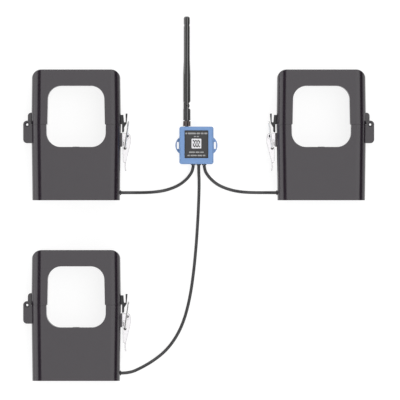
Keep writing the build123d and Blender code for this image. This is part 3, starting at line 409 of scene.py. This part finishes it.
# Latches
# Pressed levers, riveted brackets and bent wire links of stainless steel, brushed along their length. The
# pins of the latches, hinges and antenna are turned from blackened steel.
brushing, brushing_in, brushing_out = effect(
    "brushing",
    [("Roughness", "NodeSocketFloat", 0.25), ("Variation", "NodeSocketFloat", 0.12)],
    [("Roughness", "NodeSocketFloat"), ("Height", "NodeSocketFloat")])
streaks = scaled_noise(brushing, scale=4000.0, detail=3.0, stretch=(1.0, 0.03, 1.0))
spread = add(brushing, "ShaderNodeMapRange")
spread.inputs["To Min"].default_value = -1.0
link(brushing, streaks.outputs["Fac"], spread.inputs["Value"])
gloss = add(brushing, "ShaderNodeMath", operation="MULTIPLY_ADD")
link(brushing, spread.outputs["Result"], gloss.inputs[0])
link(brushing, brushing_in.outputs["Variation"], gloss.inputs[1])
link(brushing, brushing_in.outputs["Roughness"], gloss.inputs[2])
link(brushing, gloss.outputs[0], brushing_out.inputs["Roughness"])
link(brushing, streaks.outputs["Fac"], brushing_out.inputs["Height"])


def brushed(name, colour, roughness, variation):
    """A brushed or turned metal, streaked in its colour, gloss and relief."""
    darkest, lightest, white_limit, relief = 0.72, 1.25, 0.95, 0.000004
    made, tree, shader = material(name, colour, roughness, metallic=1.0)
    lines = add(tree, "ShaderNodeGroup", node_tree=brushing)
    lines.inputs["Roughness"].default_value = roughness
    lines.inputs["Variation"].default_value = variation
    link(tree, lines.outputs["Roughness"], shader.inputs["Roughness"])
    streaked = add(tree, "ShaderNodeMix", data_type="RGBA")
    link(tree, lines.outputs["Height"], streaked.inputs["Factor"])
    streaked.inputs["A"].default_value = (*[darkest * value for value in colour], 1.0)
    streaked.inputs["B"].default_value = (*[min(lightest * value, white_limit) for value in colour], 1.0)
    link(tree, streaked.outputs["Result"], shader.inputs["Base Color"])
    bump = add(tree, "ShaderNodeBump")
    bump.inputs["Distance"].default_value = relief
    link(tree, lines.outputs["Height"], bump.inputs["Height"])
    link(tree, bump.outputs["Normal"], shader.inputs["Normal"])
    return made


stainless = brushed("stainless_sheet", (0.7, 0.685, 0.7), 0.3, variation=0.1)
# painted shade: dark lines along the edges of the levers, brackets and rivets
paint_edge_light(stainless, (0.17, 0.165, 0.17), width=0.0014, breakup=0.15)
dress([f"ct_{phase}_{part}" for phase in phases for part in ("latch_bracket", "latch_lever")], stainless)
dress(["latch_rivets"], stainless)
wire = brushed("stainless_wire", (0.84, 0.83, 0.82), 0.2, variation=0.05)
dress([f"ct_{phase}_latch_link" for phase in phases], wire)
black_oxide = brushed("black_oxide_steel", (0.035, 0.034, 0.037), 0.38, variation=0.06)
dress([f"ct_{phase}_hinge_pin" for phase in phases] + ["lever_pins", "antenna_pin"], black_oxide)

# Link bushes
# Short black nylon bushes on the wire's ends, which keep each link in the middle of its lever.
bush_radius = 0.0025
bush_gap = 0.0001
bush_round = 0.0003
wire_radius = 0.00125
level = 1e-7
for phase in phases:
    link_low, link_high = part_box(f"ct_{phase}_latch_link")
    lever_low, lever_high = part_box(f"ct_{phase}_latch_lever")
    outer_side = -1 if link_low[0] < 0 else 1
    pivot_x = outer_side * (max(abs(link_low[0]), abs(link_high[0])) - wire_radius)
    pivot_y = link_low[1] + wire_radius
    spans = ((lever_high[2] + bush_gap, link_high[2] - 2 * wire_radius - bush_gap),
             (link_low[2] + 2 * wire_radius + bush_gap, lever_low[2] - bush_gap))
    bushes = bmesh.new()
    for low, high in spans:
        place = Matrix.Translation((pivot_x, pivot_y, (low + high) / 2))
        bmesh.ops.create_cone(bushes, cap_ends=True, segments=32, radius1=bush_radius, radius2=bush_radius,
                              depth=high - low, matrix=place)
    rims = [edge for edge in bushes.edges if abs(edge.verts[0].co.z - edge.verts[1].co.z) < level]
    bmesh.ops.bevel(bushes, geom=rims, offset=bush_round, affect="EDGES", segments=2, profile=0.5,
                    material=-1)
    piece = object_from(bushes, f"link_{phase}_bushes", keeper)
    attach(piece, f"link_{phase}")

# Screws
# Zinc-plated screws with a cross recess, two in each foot and four in the back of the gateway. The recesses
# are thin dark crosses on the heads, painted shade of the hollows.
zinc = brushed("zinc_plate", (0.42, 0.43, 0.45), 0.35, variation=0.08)
dress(["base_screws", "gateway_screws"], zinc)
recess = moulded("recess_shadow", (0.015, 0.015, 0.016), 0.6, variation=0.05, relief=0.000002)
recess_size = 0.0032
recess_height = 0.00003
cross_reach = 0.4 * recess_size


def thicken(shape, along):
    """Gives flat faces a thickness along a direction."""
    layer = bmesh.ops.extrude_face_region(shape, geom=shape.faces[:])
    raised = [v for v in layer["geom"] if isinstance(v, bmesh.types.BMVert)]
    bmesh.ops.translate(shape, verts=raised, vec=along)
    bmesh.ops.recalc_face_normals(shape, faces=shape.faces)


def crosses(name, middles, facing):
    """Dark crosses of painted shade for the recesses of screw heads, seen from the direction that the heads
    face.
    """
    marks = bmesh.new()
    for middle in middles:
        place = Matrix.Translation(middle) @ Vector(facing).to_track_quat("Z", "Y").to_matrix().to_4x4()
        cells = bmesh.ops.create_grid(marks, x_segments=3, y_segments=3, size=recess_size / 2, matrix=place)
        own_faces = {face for vertex in cells["verts"] for face in vertex.link_faces}
        corners = [f for f in own_faces if (f.calc_center_median() - Vector(middle)).length > cross_reach]
        bmesh.ops.delete(marks, geom=corners, context="FACES")
    thicken(marks, Vector(facing) * recess_height)
    piece = object_from(marks, name, recess)
    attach(piece, "root")


transformer_x = 0.2152
screw_spread = 0.05
screw_edge = 0.0065
head_sink = 0.0002
foot_middles = []
for phase in phases:
    base_low, base_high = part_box(f"ct_{phase}_base_housing")
    foot_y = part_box(f"ct_{phase}_base_cover")[0][1] + head_sink
    hand = -1 if base_low[0] < 0 else 1
    for side in (-1, 1):
        height = screw_edge if side == hand else base_low[2] + base_high[2] - screw_edge
        foot_middles.append((hand * transformer_x + side * screw_spread, foot_y, height))
crosses("base_screw_recesses", foot_middles, (0.0, -1.0, 0.0))
head_radius = 0.0028
screw_low, screw_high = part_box("gateway_screws")
back_middles = [(x, y, screw_low[2]) for x in (screw_low[0] + head_radius, screw_high[0] - head_radius)
                for y in (screw_low[1] + head_radius, screw_high[1] - head_radius)]
crosses("gateway_screw_recesses", back_middles, (0.0, 0.0, -1.0))


# Cores and windings
# Silicon steel strip wound into a loop and cut in two, with enamelled copper wire on a nylon bobbin.
def layered(name, light, dark, roughness, pitch):
    """Metal in thin layers along X. A wave texture of scale 1 turns 20 radians a metre."""
    radians_a_metre = 20
    made, tree, shader = material(name, light, roughness, metallic=1.0)
    place = add(tree, "ShaderNodeTexCoord")
    bands = add(tree, "ShaderNodeTexWave", bands_direction="X")
    bands.inputs["Scale"].default_value = math.tau / (radians_a_metre * pitch)
    bands.inputs["Distortion"].default_value = 0.6
    link(tree, place.outputs["Object"], bands.inputs["Vector"])
    mixed = add(tree, "ShaderNodeMix", data_type="RGBA")
    link(tree, bands.outputs["Fac"], mixed.inputs["Factor"])
    mixed.inputs["A"].default_value = (*dark, 1.0)
    mixed.inputs["B"].default_value = (*light, 1.0)
    link(tree, mixed.outputs["Result"], shader.inputs["Base Color"])
    bump = add(tree, "ShaderNodeBump")
    bump.inputs["Distance"].default_value = pitch / 8
    link(tree, bands.outputs["Fac"], bump.inputs["Height"])
    link(tree, bump.outputs["Normal"], shader.inputs["Normal"])
    return made


steel = layered("core_steel", (0.4, 0.39, 0.38), (0.12, 0.115, 0.11), 0.45, pitch=0.0005)
dress([f"ct_{phase}_{part}" for phase in phases for part in ("base_core", "jaw_core")], steel)
copper = layered("copper_wire", (0.72, 0.33, 0.14), (0.22, 0.08, 0.03), 0.35, pitch=0.0008)
dress([f"ct_{phase}_coil" for phase in phases], copper)
nylon = moulded("bobbin_nylon", (0.62, 0.6, 0.52), 0.45)
dress(["coil_bobbins"], nylon)

# Boards and cells
# Glass-fibre boards with green lacquer, one in each base and one in the gateway, where a black holder carries
# two wrapped cells.
laminate = moulded("board_laminate", (0.02, 0.16, 0.06), 0.35, variation=0.1)
dress(["burden_boards", "circuit_board"], laminate)
dress(["battery_holder"], keeper)
wrap = moulded("cell_wrap", (0.08, 0.28, 0.12), 0.3)
dress(["battery_cells"], wrap)

# Grommets
# Rings of black rubber, pushed into the walls where the cables pass.
rubber = moulded("rubber", (0.022, 0.022, 0.023), 0.6, variation=0.08)
dress(["ct_grommets", "gateway_grommets"], rubber)

# Gateway box
# Two shells moulded in light blue plastic with a fine satin texture, screwed together from the back. The rear
# one has the slotted ears.
blue = moulded("gateway_plastic", (0.16, 0.287, 0.54), 0.38, variation=0.03, relief=0.000004)
# painted highlight: the shells a little paler along their edges
paint_edge_light(blue, (0.26, 0.4, 0.68))
dress(["gateway_rear_shell", "gateway_front_shell"], blue)

# Label
# A black film let into the lid, printed with rows of plain bars and, on a white square, a sign of three
# shifted waves.
film = moulded("label_film", (0.014, 0.014, 0.015), 0.22, variation=0.03, relief=0.000001)
dress(["label_plate"], film)
label_low, label_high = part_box("label_plate")
label_middle = ((label_low[0] + label_high[0]) / 2, (label_low[1] + label_high[1]) / 2)
print_height = 0.00006
print_white = moulded("print_white", (0.74, 0.74, 0.76), 0.35, variation=0.04, relief=0.000001)
print_grey = moulded("print_grey", (0.3, 0.3, 0.305), 0.35, variation=0.04, relief=0.000001)
print_black = moulded("print_black", (0.008, 0.008, 0.009), 0.3, variation=0.03, relief=0.000001)
print_black.node_tree.nodes["Principled BSDF"].inputs["Specular IOR Level"].default_value = 0.2


def printed(name, marks, low, finish):
    """Makes flat marks into a thin printed layer that starts at a height, and puts it on the gateway."""
    thicken(marks, (0.0, 0.0, print_height))
    bmesh.ops.translate(marks, verts=marks.verts, vec=(0.0, 0.0, low))
    piece = object_from(marks, name, finish)
    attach(piece, "root")


def patch(marks, middle, size, corner):
    """Adds one flat rectangle with round corners."""
    place = Matrix.Translation((*middle, 0.0)) @ Matrix.Diagonal((size[0] / 2, size[1] / 2, 1.0, 1.0))
    made = bmesh.ops.create_grid(marks, x_segments=1, y_segments=1, size=1.0, matrix=place)["verts"]
    bmesh.ops.bevel(marks, geom=made, offset=corner, affect="VERTICES", segments=5, profile=0.5, material=-1)


# bars: for each row its height over the label's middle, the height of its bars and their lengths
bar_rows = (
    (0.0190, 0.0028, (0.0030, 0.0140, 0.0060, 0.0050, 0.0055)),
    (0.0135, 0.0018, (0.0035, 0.0040)),
    (-0.0140, 0.0023, (0.0100, 0.0070, 0.0061)),
    (-0.0198, 0.0022, (0.0040, 0.0110, 0.0080, 0.0045)),
)
bar_gap = 0.0013
bar_round = 0.35
bars = bmesh.new()
for above, height, lengths in bar_rows:
    start = label_middle[0] - (sum(lengths) + bar_gap * (len(lengths) - 1)) / 2
    for length in lengths:
        patch(bars, (start + length / 2, label_middle[1] + above), (length, height), bar_round * height)
        start += length + bar_gap
printed("label_bars", bars, label_high[2], print_grey)

# square: the white ground of the sign
sign_above = 0.0012
sign_size = 0.0172
sign_round = 0.0012
sign_middle = (label_middle[0], label_middle[1] + sign_above)
square = bmesh.new()
patch(square, sign_middle, (sign_size, sign_size), sign_round)
printed("label_square", square, label_high[2], print_white)

# sign: the three voltages of the mains, a third of a turn apart
wave_length = 0.0128
wave_swing = 0.0054
wave_width = 0.0024
waves = bmesh.new()
for third in range(3):
    ribbon = bmesh.ops.create_grid(waves, x_segments=40, y_segments=1, size=0.5)["verts"]
    for vertex in ribbon:
        angle = math.tau * (vertex.co.x + third / 3)
        vertex.co.y = wave_width * vertex.co.y + wave_swing * math.sin(angle) + sign_middle[1]
        vertex.co.x = wave_length * vertex.co.x + sign_middle[0]
printed("label_waves", waves, label_high[2] + print_height, print_black)

# border: a black line round the film
border_width = 0.0011
border_round = 0.001
border = bmesh.new()
patch(border, label_middle, (label_high[0] - label_low[0], label_high[1] - label_low[1]), border_round)
bmesh.ops.inset_region(border, faces=border.faces[:], thickness=border_width, use_boundary=True,
                       use_even_offset=True)
bmesh.ops.delete(border, geom=[max(border.faces, key=lambda face: face.calc_area())], context="FACES")
printed("label_border", border, label_high[2], print_black)

# Antenna
# A whip in a glossy black sleeve, which tilts on a swivel base. A knurled nut of black nickel screws it onto
# the blackened socket of the box, whose darkness is also painted shade under the nut.
sleeve = moulded("antenna_plastic", (0.009, 0.0082, 0.0085), 0.15, variation=0.02, relief=0.000002)
sleeve_shader = sleeve.node_tree.nodes["Principled BSDF"]
sleeve_shader.inputs["IOR"].default_value = 1.68
sleeve_shader.inputs["Coat Weight"].default_value = 0.6
sleeve_shader.inputs["Coat Roughness"].default_value = 0.12
dress(["antenna_whip", "antenna_base"], sleeve)
black_nickel = brushed("black_nickel", (0.12, 0.1, 0.095), 0.32, variation=0.08)
dress(["antenna_nut"], black_nickel)
# blackened socket: its own dark finish, which also serves as painted shade under the nut
dress(["sma_connector"], black_oxide)
